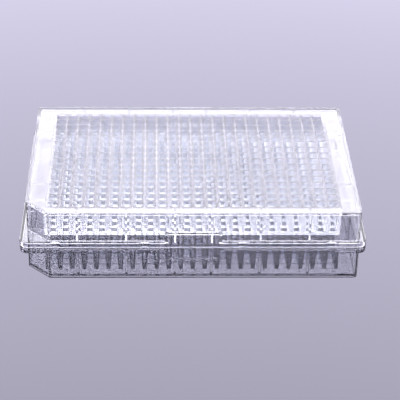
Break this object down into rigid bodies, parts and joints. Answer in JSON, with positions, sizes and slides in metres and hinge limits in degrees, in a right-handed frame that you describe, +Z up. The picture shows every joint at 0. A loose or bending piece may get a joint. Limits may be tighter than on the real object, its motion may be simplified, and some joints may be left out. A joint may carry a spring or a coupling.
{
  "type": "well plate",
  "caption": "Clear low-profile microplate with a grid of square flat-bottomed wells, a raised rim, a keyed corner and a stepped base flange.",
  "frame": {"origin": "centre of the footprint on the surface the plate stands on", "axes": "+X along the long side, from the keyed corner's end; +Y across the short side, away from the keyed corner; +Z up, out of the wells"},
  "size_m": [0.1278, 0.0854, 0.0142],
  "materials": {
    "clear_polystyrene": "clear crystal polystyrene, injection-moulded and polished"
  },
  "bodies": {
    "root": {"well_plate": "clear_polystyrene"}
  },
  "joints": []
}
